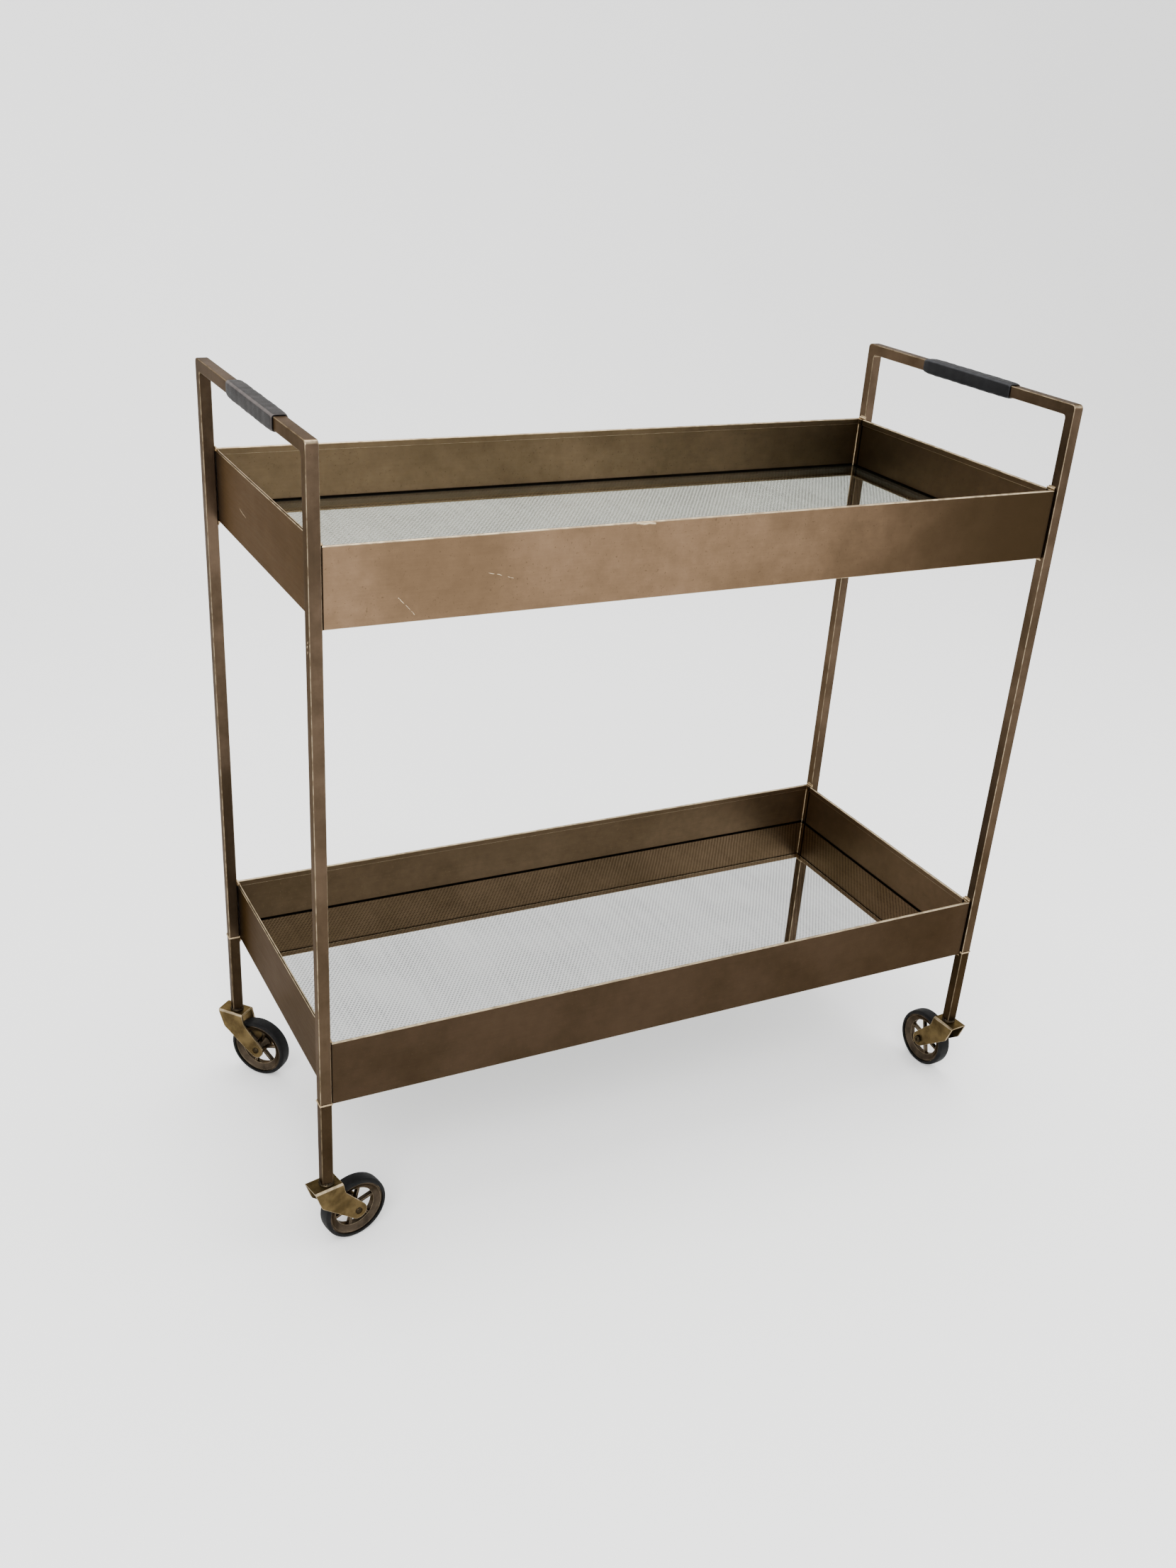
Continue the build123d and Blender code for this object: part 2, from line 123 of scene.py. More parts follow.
class CartWeld(bpy.types.PropertyGroup):
    """Rippled weld beads"""

    ripple: bpy.props.FloatProperty(
        name="Ripple", description="Distance between the ripples of a weld",
        subtype="DISTANCE", unit="LENGTH", default=0.9 * MM, min=0)
    width: bpy.props.FloatProperty(
        name="Width", description="Width of a weld bead",
        subtype="DISTANCE", unit="LENGTH", default=2.0 * MM, min=0)


GROUPS = {
    "cart_patina": CartPatina,
    "cart_grip": CartGrip,
    "cart_weld": CartWeld,
}


# Node tree helpers -----------------------------------------------------------

class Tree:
    """Short way to add, set and link nodes of one tree."""

    def __init__(self, tree):
        self.tree = tree

    def add(self, kind, inputs=None, **settings):
        node = self.tree.nodes.new(kind)
        for name, value in settings.items():
            setattr(node, name, value)
        for name, value in (inputs or {}).items():
            self.put(node.inputs[name], value)
        return node

    def put(self, socket, value):
        if isinstance(value, bpy.types.NodeSocket):
            self.tree.links.new(value, socket)
        elif isinstance(value, bpy.types.Node):
            self.tree.links.new(value.outputs[0], socket)
        elif socket.type == "RGBA" and len(value) == 3:
            socket.default_value = (*value, 1)
        else:
            socket.default_value = value

    def math(self, operation, a, b=0.5, clamp=False):
        return self.add("ShaderNodeMath", {0: a, 1: b}, operation=operation, use_clamp=clamp).outputs[0]

    def vector(self, operation, a, b=(0, 0, 0)):
        node = self.add("ShaderNodeVectorMath", {0: a, 1: b}, operation=operation)
        return node.outputs["Value" if operation in ("DOT_PRODUCT", "LENGTH") else "Vector"]

    def noise(self, coordinates, scale, detail=4.0, roughness=0.55):
        return self.add(
            "ShaderNodeTexNoise",
            {"Vector": coordinates, "Scale": scale, "Detail": detail, "Roughness": roughness},
        ).outputs["Fac"]

    def ramp(self, value, low, high, to_low=0.0, to_high=1.0):
        return self.add(
            "ShaderNodeMapRange",
            {"Value": value, "From Min": low, "From Max": high, "To Min": to_low, "To Max": to_high},
            interpolation_type="SMOOTHSTEP",
        ).outputs["Result"]

    def mix(self, factor, a, b, blend="MIX"):
        node = self.add("ShaderNodeMix", data_type="RGBA", blend_type=blend)
        self.put(node.inputs[0], factor)
        self.put(node.inputs[6], a)
        self.put(node.inputs[7], b)
        return node.outputs[2]


SOCKETS = {"color": "NodeSocketColor", "float": "NodeSocketFloat", "vector": "NodeSocketVector"}


def shader_group(name, inputs, outputs):
    """An empty shader node group with named sockets: name -> (kind, default) or kind."""
    group = bpy.data.node_groups.new(name, "ShaderNodeTree")
    for label, (kind, default) in inputs.items():
        socket = group.interface.new_socket(label, in_out="INPUT", socket_type=SOCKETS[kind])
        socket.default_value = (*default, 1) if kind == "color" else default
    for label, kind in outputs.items():
        group.interface.new_socket(label, in_out="OUTPUT", socket_type=SOCKETS[kind])
    tree = Tree(group)
    return group, tree, tree.add("NodeGroupInput").outputs, tree.add("NodeGroupOutput").inputs


def object_coordinates(tree):
    return tree.add("ShaderNodeTexCoord").outputs["Object"]


def stretched(tree, coordinates, scale):
    return tree.add("ShaderNodeMapping", {"Vector": coordinates, "Scale": scale}).outputs[0]


def edge_rubbing_and_highlight_group():
    """Mask of worn edges and painted highlights: found by bevel, by rounded facets, by folds and by the
    rim's height.
    """
    group, tree, given, out = shader_group(
        "Edge rubbing and highlight",
        {"Width": ("float", 0.001), "Breakup": ("float", 0.5), "Facet": ("float", 0.0),
         "Fold": ("float", 0.0), "Rim": ("float", 10.0), "Strength": ("float", 1.0)},
        {"Mask": "float"})
    place = object_coordinates(tree)
    bevel = tree.add("ShaderNodeBevel", {"Radius": given["Width"]}, samples=6)
    normal = tree.add("ShaderNodeNewGeometry").outputs["Normal"]
    turn = tree.vector("DOT_PRODUCT", bevel.outputs[0], normal)
    edge = tree.ramp(tree.math("SUBTRACT", 1.0, turn), 0.01, 0.12)
    size = tree.add("ShaderNodeSeparateXYZ", {0: tree.vector("ABSOLUTE", normal)}).outputs
    flattest = tree.math("MAXIMUM", tree.math("MAXIMUM", size["X"], size["Y"]), size["Z"])
    # Rounded facets, folds and the strip above the rim are painted highlights; bevelled edges are worn
    # edges with painted highlights.
    facet = tree.math("MULTIPLY", tree.ramp(flattest, 0.97, 0.85), given["Facet"])
    tilted = tree.math("MULTIPLY", tree.ramp(size["Z"], 0.15, 0.4), tree.ramp(size["Z"], 0.99, 0.93))
    fold = tree.math("MULTIPLY", tilted, given["Fold"])
    height = tree.add("ShaderNodeSeparateXYZ", {0: place}).outputs["Z"]
    above = tree.ramp(tree.math("SUBTRACT", height, given["Rim"]), *RIM_LINE)
    strongest = tree.math("MAXIMUM", tree.math("MAXIMUM", edge, facet), tree.math("MAXIMUM", fold, above))
    spots = tree.ramp(tree.noise(place, 90.0, 6.0, 0.65), 0.4, 0.64)
    kept = tree.math("SUBTRACT", 1.0, tree.math("MULTIPLY", given["Breakup"], spots))
    shown = tree.math("MULTIPLY", strongest, given["Strength"])
    tree.put(out["Mask"], tree.math("MULTIPLY", shown, kept, clamp=True))
    return group


def patina_group():
    """Cloudy aged brass: colour, roughness and height. The colour also holds painted shade low down, on
    the ends and along x, and painted light on inner faces.
    """
    group, tree, given, out = shader_group(
        "Aged brass patina",
        {"Tone": ("color", (0.3, 0.2, 0.1)), "Shade": ("color", (0.15, 0.1, 0.05)),
         "Painted shade colour": ("color", (0.03, 0.02, 0.01)),
         "Clouds": ("float", 9.0), "Depth": ("float", 0.7), "Gloss": ("float", 0.36),
         "Brush": ("vector", (40.0, 40.0, 600.0)), "Smoke": ("float", 0.35), "Ends": ("float", 0.0),
         "Fade": ("float", 0.0), "Shade ramp start": ("float", 0.0), "Shade ramp end": ("float", 1.0),
         "Olive": ("float", 0.0), "Inside": ("float", 0.0)},
        {"Color": "color", "Roughness": "float", "Height": "float"})
    place = object_coordinates(tree)
    clouds = tree.noise(place, given["Clouds"], 7.0, 0.62)
    fine = tree.noise(place, 95.0, 5.0, 0.6)
    speck = tree.ramp(tree.noise(place, 420.0, 2.0), 0.64, 0.74)
    brush = tree.add("ShaderNodeMapping", {"Vector": place, "Scale": given["Brush"]})
    lines = tree.noise(brush.outputs[0], 1.0, 3.0, 0.6)
    cloud_mask = tree.math("MULTIPLY", tree.ramp(clouds, 0.36, 0.66), given["Depth"])
    colour = tree.mix(cloud_mask, given["Tone"], given["Shade"])
    grey = tree.math("ADD", tree.math("MULTIPLY", fine, 0.36), tree.math("MULTIPLY", lines, 0.22))
    level = tree.math("ADD", grey, 0.71)
    vary = tree.add("ShaderNodeCombineColor", {0: level, 1: level, 2: level})
    colour = tree.mix(1.0, colour, vary.outputs[0], "MULTIPLY")
    colour = tree.mix(tree.math("MULTIPLY", speck, 0.45), colour, (0.05, 0.034, 0.02))
    where = tree.add("ShaderNodeSeparateXYZ", {0: place}).outputs
    # Painted shade: darker towards the floor.
    low_shade = tree.math("MULTIPLY", tree.ramp(where["Z"], 0.75, 0.15), given["Smoke"])
    normal = tree.add("ShaderNodeNewGeometry").outputs["Normal"]
    # Painted shade on faces turned along x, the cart's ends.
    sideways = tree.add("ShaderNodeSeparateXYZ", {0: tree.vector("ABSOLUTE", normal)}).outputs["X"]
    side_shade = tree.math("MULTIPLY", tree.ramp(sideways, 0.4, 0.9), given["Ends"])
    # Painted shade that grows along x between its start and end.
    shift = tree.math("ADD", where["X"], tree.math("MULTIPLY", clouds, 0.16))
    ramp_shade = tree.math("MULTIPLY", tree.ramp(shift, given["Shade ramp start"], given["Shade ramp end"]), given["Fade"])
    inner = tree.ramp(tree.vector("DOT_PRODUCT", place, normal), 0.0, -0.05)
    darkest = tree.math("MAXIMUM", tree.math("MAXIMUM", low_shade, side_shade), ramp_shade)
    # Painted shade is weaker on inner faces.
    outer_share = tree.math("SUBTRACT", 1.0, tree.math("MULTIPLY", inner, 0.35))
    darkest = tree.math("MULTIPLY", darkest, outer_share)
    # Mix towards the colour of the painted shade.
    colour = tree.mix(darkest, colour, given["Painted shade colour"])
    olive = tree.math("MULTIPLY", inner, given["Olive"])
    behind = tree.math("MULTIPLY", tree.ramp(where["Y"], -0.15, 0.15), olive)
    colour = tree.mix(behind, colour, (0.88, 0.98, 0.94), "MULTIPLY")
    # Painted light: inner faces made brighter by the Inside gain.
    gain = tree.math("ADD", 1.0, tree.math("MULTIPLY", inner, given["Inside"]))
    lifted = tree.add("ShaderNodeVectorMath", {0: colour, "Scale": gain}, operation="SCALE")
    tree.put(out["Color"], lifted)
    rough = tree.math("ADD", given["Gloss"], tree.math("MULTIPLY", clouds, 0.14))
    rough = tree.math("ADD", rough, tree.math("MULTIPLY", tree.math("SUBTRACT", lines, 0.5), 0.12))
    tree.put(out["Roughness"], rough)
    tree.put(out["Height"], tree.math("ADD", lines, tree.math("MULTIPLY", fine, 0.8)))
    return group


def scratch_group():
    """A thin scratch from one point to another, slightly crooked."""
    group, tree, given, out = shader_group(
        "Scratch",
        {"Start": ("vector", (0, 0, 0)), "End": ("vector", (0, 0, 0)), "Width": ("float", 0.0005)},
        {"Mask": "float"})
    place = object_coordinates(tree)
    wobble = tree.add("ShaderNodeTexNoise", {"Vector": place, "Scale": 120.0, "Detail": 2.0})
    shift = tree.vector("SUBTRACT", wobble.outputs["Color"], (0.5, 0.5, 0.5))
    shift = tree.vector("MULTIPLY", shift, (SCRATCH_WOBBLE,) * 3)
    point = tree.vector("SUBTRACT", tree.vector("ADD", place, shift), given["Start"])
    run = tree.vector("SUBTRACT", given["End"], given["Start"])
    reached = tree.vector("DOT_PRODUCT", point, run)
    along = tree.math("DIVIDE", reached, tree.vector("DOT_PRODUCT", run, run), clamp=True)
    scaled = tree.add("ShaderNodeVectorMath", {0: run, "Scale": along}, operation="SCALE")
    off = tree.vector("LENGTH", tree.vector("SUBTRACT", point, scaled.outputs["Vector"]))
    tree.put(out["Mask"], tree.ramp(off, given["Width"], 0.0))
    return group


def seam_shade_group():
    """Painted shade in narrow gaps: where a long wall meets a post, beside the posts, and over a panel's
    edge.
    """
    group, tree, given, out = shader_group(
        "Seam shade",
        {"Half length": ("float", 1.0), "Post side": ("float", 1.0), "Panel": ("float", 0.0),
         "Width": ("float", 0.0015)},
        {"Mask": "float"})
    place = object_coordinates(tree)
    where = tree.add("ShaderNodeSeparateXYZ", {0: tree.vector("ABSOLUTE", place)}).outputs
    normal = tree.add("ShaderNodeNewGeometry").outputs["Normal"]
    faces = tree.add("ShaderNodeSeparateXYZ", {0: tree.vector("ABSOLUTE", normal)}).outputs["X"]
    sideways = tree.ramp(faces, 0.5, 0.8)
    from_end = tree.math("SUBTRACT", given["Half length"], where["X"])
    end_band = tree.ramp(tree.math("DIVIDE", from_end, given["Width"]), 1.3, 0.8)
    along = tree.math("MULTIPLY", end_band, tree.math("SUBTRACT", 1.0, sideways))
    off_post = tree.math("ABSOLUTE", tree.math("SUBTRACT", where["Y"], given["Post side"]))
    post_band = tree.ramp(tree.math("DIVIDE", off_post, given["Width"]), 1.3, 0.6)
    across = tree.math("MULTIPLY", post_band, sideways)
    off_panel = tree.math("ABSOLUTE", tree.math("SUBTRACT", where["Z"], given["Panel"]))
    inner = tree.ramp(tree.vector("DOT_PRODUCT", place, normal), 0.0, -0.05)
    panel_band = tree.ramp(tree.math("DIVIDE", off_panel, given["Width"]), 1.5, 0.9)
    level = tree.math("MULTIPLY", panel_band, inner)
    tree.put(out["Mask"], tree.math("MAXIMUM", level, tree.math("MAXIMUM", along, across)))
    return group


def leather_group():
    """Pebbled leather with creases."""
    group, tree, given, out = shader_group(
        "Leather grain",
        {"Tone": ("color", (0.02, 0.02, 0.02)), "Rubbed": ("color", (0.1, 0.09, 0.08)),
         "Grain": ("float", 900.0)},
        {"Color": "color", "Roughness": "float", "Height": "float"})
    place = object_coordinates(tree)
    cells = tree.add("ShaderNodeTexVoronoi", {"Vector": place, "Scale": given["Grain"]},
                     feature="DISTANCE_TO_EDGE").outputs["Distance"]
    pebble = tree.ramp(cells, 0.0, 0.22)
    crease = tree.noise(stretched(tree, place, (1.0, 0.35, 1.0)), 130.0, 5.0, 0.65)
    cloud = tree.noise(place, 38.0, 4.0)
    rubbed = tree.math("MULTIPLY", tree.ramp(cloud, 0.42, 0.7), 0.35)
    colour = tree.mix(rubbed, given["Tone"], given["Rubbed"])
    tree.put(out["Color"], tree.mix(tree.math("MULTIPLY", pebble, 0.25), colour, given["Rubbed"]))
    tree.put(out["Roughness"], tree.math("ADD", 0.5, tree.math("MULTIPLY", crease, 0.24)))
    tree.put(out["Height"], tree.math("ADD", tree.math("MULTIPLY", pebble, 0.6), crease))
    return group


def rubber_group():
    """Black rubber with dusty scuffs."""
    group, tree, given, out = shader_group(
        "Scuffed rubber",
        {"Tone": ("color", (0.003, 0.003, 0.003)), "Dust": ("color", (0.015, 0.014, 0.013))},
        {"Color": "color", "Roughness": "float", "Height": "float"})
    place = object_coordinates(tree)
    cloud = tree.noise(place, 70.0, 6.0, 0.65)
    fine = tree.noise(place, 1500.0, 2.0)
    dust = tree.math("MULTIPLY", tree.ramp(cloud, 0.46, 0.72), 0.55)
    tree.put(out["Color"], tree.mix(dust, given["Tone"], given["Dust"]))
    tree.put(out["Roughness"], tree.math("ADD", 0.45, tree.math("MULTIPLY", cloud, 0.3)))
    tree.put(out["Height"], fine)
    return group


def painted_reflection_group():
    """Painted reflection of a woven backdrop, faint and broken by clouds and streaks, on a mirror."""
    group, tree, given, out = shader_group(
        "Painted woven reflection",
        {"Clear": ("color", (0.6, 0.62, 0.61)), "Painted weave": ("color", (0.45, 0.47, 0.46)),
         "Weave": ("float", 80.0)},
        {"Color": "color", "Roughness": "float"})
    place = object_coordinates(tree)
    threads = []
    for turn in (35, -55):
        angled = tree.add("ShaderNodeMapping",
                          {"Vector": place, "Rotation": (0, 0, math.radians(turn))}).outputs[0]
        wave = tree.add("ShaderNodeTexWave",
                        {"Vector": angled, "Scale": given["Weave"], "Distortion": 1.2,
                         "Detail": 1.0, "Detail Scale": 0.5}, bands_direction="X")
        threads.append(wave.outputs["Fac"])
    weave = tree.ramp(tree.math("MULTIPLY", threads[0], threads[1]), 0.05, 0.6)
    cloud = tree.noise(place, 14.0, 5.0)
    streak = tree.noise(stretched(tree, place, (240.0, 6.0, 1.0)), 1.0, 3.0)
    painted_weave = tree.math("MULTIPLY", weave, tree.ramp(cloud, 0.25, 0.75, 0.55, 1.0))
    painted_weave = tree.math("ADD", painted_weave, tree.math("MULTIPLY", tree.ramp(streak, 0.4, 0.7), 0.12), clamp=True)
    tree.put(out["Color"], tree.mix(painted_weave, given["Clear"], given["Painted weave"]))
    tree.put(out["Roughness"], tree.math("ADD", 0.012, tree.math("MULTIPLY", painted_weave, 0.03)))
    return group


SHADER_GROUPS = {
    "Edge rubbing and highlight": edge_rubbing_and_highlight_group,
    "Aged brass patina": patina_group,
    "Scratch": scratch_group,
    "Seam shade": seam_shade_group,
    "Leather grain": leather_group,
    "Scuffed rubber": rubber_group,
    "Painted woven reflection": painted_reflection_group,
}


def placed_group(tree, name, inputs):
    """The named node group placed in a material, built the first time it is asked for."""
    group = bpy.data.node_groups.get(name) or SHADER_GROUPS[name]()
    node = tree.tree.nodes.new("ShaderNodeGroup")
    node.node_tree = group
    for label, value in inputs.items():
        tree.put(node.inputs[label], value)
    return node.outputs


def new_material(name, **constants):
    """A material with one Principled shader and its constant values."""
    material = bpy.data.materials.new(name)
    material.use_nodes = True
    tree = Tree(material.node_tree)
    shader = material.node_tree.nodes["Principled BSDF"]
    for label, value in constants.items():
        tree.put(shader.inputs[label.replace("_", " ")], value)
    return material, tree, shader


def bumped(tree, height, strength, distance):
    inputs = {"Height": height, "Strength": strength, "Distance": distance}
    return tree.add("ShaderNodeBump", inputs).outputs[0]


# Materials -------------------------------------------------------------------

def brass_material(name, tone, shade, edge_band=None, marks=(), bump=0.1, seam=None, **patina):
    """Aged brass with cloudy patina and painted shade, brushed lines, bright worn edges with painted
    highlights, painted shade in narrow gaps at the seams, and scratches.
    """
    settings = bpy.context.scene.cart_patina
    material, tree, shader = new_material(name, Metallic=1.0, Specular_Tint=settings.grazing)
    surface = placed_group(tree, "Aged brass patina", {
        "Tone": tone, "Shade": shade, "Painted shade colour": settings.painted_shade_colour, **patina})
    worn_and_highlight = {"Width": settings.edge, "Breakup": 0.45, **(edge_band or {})}
    bright = placed_group(tree, "Edge rubbing and highlight", worn_and_highlight)["Mask"]
    for start, end, thickness in marks:
        mark = placed_group(tree, "Scratch", {"Start": start, "End": end, "Width": thickness})["Mask"]
        bright = tree.math("MAXIMUM", bright, mark)
    # Worn edges, scratches and painted highlights take the bright worn colour.
    colour = tree.mix(bright, surface["Color"], settings.worn_and_highlight)
    # Painted shade: near black in the narrow gaps at seams.
    if seam:
        gap_shade = placed_group(tree, "Seam shade", seam)["Mask"]
        colour = tree.mix(gap_shade, colour, (0.006, 0.004, 0.003))
    tree.put(shader.inputs["Base Color"], colour)
    smoother = tree.math("MULTIPLY", bright, 0.12)
    tree.put(shader.inputs["Roughness"], tree.math("SUBTRACT", surface["Roughness"], smoother))
    tree.put(shader.inputs["Normal"], bumped(tree, surface["Height"], bump, BRUSH_HEIGHT))
    return material


def leather_material(name, tone, rubbed):
    material, tree, shader = new_material(name, Specular_IOR_Level=0.1)
    surface = placed_group(tree, "Leather grain", {"Tone": tone, "Rubbed": rubbed})
    edge_band = placed_group(tree, "Edge rubbing and highlight", {"Width": LEATHER_EDGE, "Breakup": 0.3, "Facet": 1.0})["Mask"]
    worn_and_highlight = tree.math("MULTIPLY", edge_band, 0.8)
    normal = tree.vector("ABSOLUTE", tree.add("ShaderNodeNewGeometry").outputs["Normal"])
    cut_end = tree.ramp(tree.add("ShaderNodeSeparateXYZ", {0: normal}).outputs["Y"], 0.5, 0.8)
    # Painted highlight: ridges and rubbed edges lighter than the rubbed leather, partly wear.
    colour = tree.mix(worn_and_highlight, surface["Color"], tuple(channel * 2.6 for channel in rubbed))
    tree.put(shader.inputs["Base Color"], tree.mix(cut_end, colour, (0.002, 0.002, 0.002)))
    tree.put(shader.inputs["Roughness"], surface["Roughness"])
    tree.put(shader.inputs["Normal"], bumped(tree, surface["Height"], 0.35, GRAIN_HEIGHT))
    return material


def thread_material(name, tone):
    """Waxed thread with fine twist."""
    material, tree, shader = new_material(name)
    place = object_coordinates(tree)
    twist = tree.add("ShaderNodeTexWave", {"Vector": place, "Scale": 900.0, "Distortion": 2.0},
                     bands_direction="DIAGONAL").outputs["Fac"]
    shaded = tuple(channel * 0.45 for channel in tone)
    tree.put(shader.inputs["Base Color"], tree.mix(twist, shaded, tone))
    tree.put(shader.inputs["Roughness"], tree.ramp(twist, 0.0, 1.0, 0.7, 0.5))
    tree.put(shader.inputs["Normal"], bumped(tree, twist, 0.4, FINE_HEIGHT))
    return material


def rubber_material(name):
    material, tree, shader = new_material(name, Specular_IOR_Level=0.08)
    surface = placed_group(tree, "Scuffed rubber", {})
    tree.put(shader.inputs["Base Color"], surface["Color"])
    tree.put(shader.inputs["Roughness"], surface["Roughness"])
    tree.put(shader.inputs["Normal"], bumped(tree, surface["Height"], 0.2, FINE_HEIGHT))
    return material


def mirror_material(name, clear, painted_weave):
    material, tree, shader = new_material(name, Metallic=1.0)
    # The mirror's colour holds a painted reflection of a woven backdrop.
    surface = placed_group(tree, "Painted woven reflection", {"Clear": clear, "Painted weave": painted_weave})
    # Painted highlight: a bright band along the mirror's polished edge.
    edge_band = placed_group(tree, "Edge rubbing and highlight", {"Width": GLASS_EDGE, "Breakup": 0.0})["Mask"]
    bright = tree.mix(edge_band, surface["Color"], (0.83, 0.9, 0.87))
    tree.put(shader.inputs["Base Color"], bright)
    tree.put(shader.inputs["Roughness"], surface["Roughness"])
    return material


def glass_material(name, clear, painted_weave):
    """Clear panel that lets light through; its polished edges show a greenish tint."""
    material, tree, shader = new_material(name, IOR=1.5, Transmission_Weight=1.0)
    # The panel's tint holds the painted woven backdrop seen through it.
    surface = placed_group(tree, "Painted woven reflection", {"Clear": clear, "Painted weave": painted_weave})
    edge_band = placed_group(tree, "Edge rubbing and highlight", {"Width": GLASS_EDGE, "Breakup": 0.0, "Facet": 1.0})["Mask"]
    tree.put(shader.inputs["Base Color"], tree.mix(edge_band, surface["Color"], (0.72, 0.9, 0.82)))
    tree.put(shader.inputs["Roughness"], surface["Roughness"])
    lets_through = tree.add("ShaderNodeBsdfTransparent", {"Color": (0.86, 0.9, 0.88)})
    shadow = tree.add("ShaderNodeLightPath").outputs["Is Shadow Ray"]
    both = tree.add("ShaderNodeMixShader")
    tree.put(both.inputs[0], shadow)
    tree.put(both.inputs[1], shader.outputs[0])
    tree.put(both.inputs[2], lets_through)
    tree.put(material.node_tree.nodes["Material Output"].inputs["Surface"], both)
    return material


def ledge_material(name):
    """Dull unpolished angle under the panels."""
    material, tree, shader = new_material(name, Metallic=0.8)
    # Painted shade: darker towards the floor.
    surface = placed_group(tree, "Aged brass patina", {
        "Tone": (0.042, 0.042, 0.034), "Shade": (0.02, 0.02, 0.016), "Gloss": 0.5, "Smoke": 0.2})
    tree.put(shader.inputs["Base Color"], surface["Color"])
    tree.put(shader.inputs["Roughness"], surface["Roughness"])
    tree.put(shader.inputs["Normal"], bumped(tree, surface["Height"], 0.1, BRUSH_HEIGHT))
    return material


# Mesh helpers ----------------------------------------------------------------

def dress(node, material):
    """Give a CAD node its finish."""
    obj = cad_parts[node]
    if not obj.material_slots:
        obj.data.materials.append(material)
    for slot in obj.material_slots:
        slot.material = material


def make_object(name, mesh, material, smooth_angle=None):
    """A new object at the origin whose place is in its mesh."""
    obj = bpy.data.objects.new(name, mesh)
    bpy.context.scene.collection.objects.link(obj)
    if material is not None:
        mesh.materials.clear()
        mesh.materials.append(material)
    if smooth_angle is not None:
        mesh.shade_smooth()
        mesh.set_sharp_from_angle(angle=math.radians(smooth_angle))
    return obj


def path_mesh(name, paths):
    """Edges along one or more lists of points; a path whose ends meet is closed."""
    mesh = bpy.data.meshes.new(name)
    points, edges = [], []
    for path in paths:
        start = len(points)
        closed = path[0] == path[-1]
        kept = path[:-1] if closed else path
        points += [tuple(point) for point in kept]
        edges += [(start + index, start + index + 1) for index in range(len(kept) - 1)]
        if closed:
            edges.append((start + len(kept) - 1, start))
    mesh.from_pydata(points, edges, [])
    return mesh


def bead_tree():
    """Geometry Nodes: beads laid end to end along the input's edges."""
    tree = bpy.data.node_groups.get("Beads along a path")
    if tree:
        return tree
    tree = bpy.data.node_groups.new("Beads along a path", "GeometryNodeTree")
    face = tree.interface
    face.new_socket("Geometry", in_out="INPUT", socket_type="NodeSocketGeometry")
    for label, default in (("Spacing", 0.001), ("Length", 0.001), ("Width", 0.001), ("Height", 0.001),
                           ("Jitter", 0.2)):
        face.new_socket(label, in_out="INPUT", socket_type="NodeSocketFloat").default_value = default
    face.new_socket("Material", in_out="INPUT", socket_type="NodeSocketMaterial")
    face.new_socket("Geometry", in_out="OUTPUT", socket_type="NodeSocketGeometry")
    nodes = Tree(tree)
    given = nodes.add("NodeGroupInput").outputs
    curve = nodes.add("GeometryNodeMeshToCurve", {"Mesh": given["Geometry"]})
    spaced = nodes.add("GeometryNodeResampleCurve",
                       {"Curve": curve, "Length": given["Spacing"]}, mode="LENGTH")
    spin = nodes.add("FunctionNodeAlignEulerToVector",
                     {"Vector": nodes.add("GeometryNodeInputTangent")}, axis="X")
    grow = nodes.add("FunctionNodeRandomValue", {"Seed": 7}, data_type="FLOAT")
    nodes.put(grow.inputs[2], nodes.math("SUBTRACT", 1.0, given["Jitter"]))
    nodes.put(grow.inputs[3], nodes.math("ADD", 1.0, given["Jitter"]))
    ball = nodes.add("GeometryNodeMeshUVSphere", {"Segments": 10, "Rings": 6, "Radius": 0.5})
    smooth = nodes.add("GeometryNodeSetShadeSmooth", {"Geometry": ball.outputs["Mesh"]})
    size = nodes.add("ShaderNodeCombineXYZ",
                     {"X": given["Length"], "Y": given["Width"], "Z": given["Height"]})
    bead = nodes.add("GeometryNodeTransform", {"Geometry": smooth, "Scale": size})
    laid = nodes.add("GeometryNodeInstanceOnPoints",
                     {"Points": spaced, "Instance": bead, "Rotation": spin})
    nodes.put(laid.inputs["Scale"], grow.outputs[1])
    real = nodes.add("GeometryNodeRealizeInstances", {"Geometry": laid})
    dressed = nodes.add("GeometryNodeSetMaterial", {"Geometry": real, "Material": given["Material"]})
    end = nodes.add("NodeGroupOutput")
    nodes.put(end.inputs[0], dressed.outputs[0])
    return tree


def beads(name, paths, material, spacing, size, jitter=0.2):
    """Beads of size (length, width, height) along the paths, as one plain object."""
    source = bpy.data.objects.new(name + "_path", path_mesh(name + "_path", paths))
    bpy.context.scene.collection.objects.link(source)
    modifier = source.modifiers.new("Beads", "NODES")
    modifier.node_group = bead_tree()
    values = {"Spacing": spacing, "Length": size[0], "Width": size[1], "Height": size[2],
              "Jitter": jitter, "Material": material}
    for item in modifier.node_group.interface.items_tree:
        if item.in_out == "INPUT" and item.name in values:
            modifier[item.identifier] = values[item.name]
    bpy.context.view_layer.update()
    evaluated = source.evaluated_get(bpy.context.evaluated_depsgraph_get())
    mesh = bpy.data.meshes.new_from_object(evaluated)
    mesh.name = name
    bpy.data.objects.remove(source)
    if not mesh.vertices:
        raise RuntimeError(f"{name}: no beads were made")
    return make_object(name, mesh, None)


# Operators -------------------------------------------------------------------

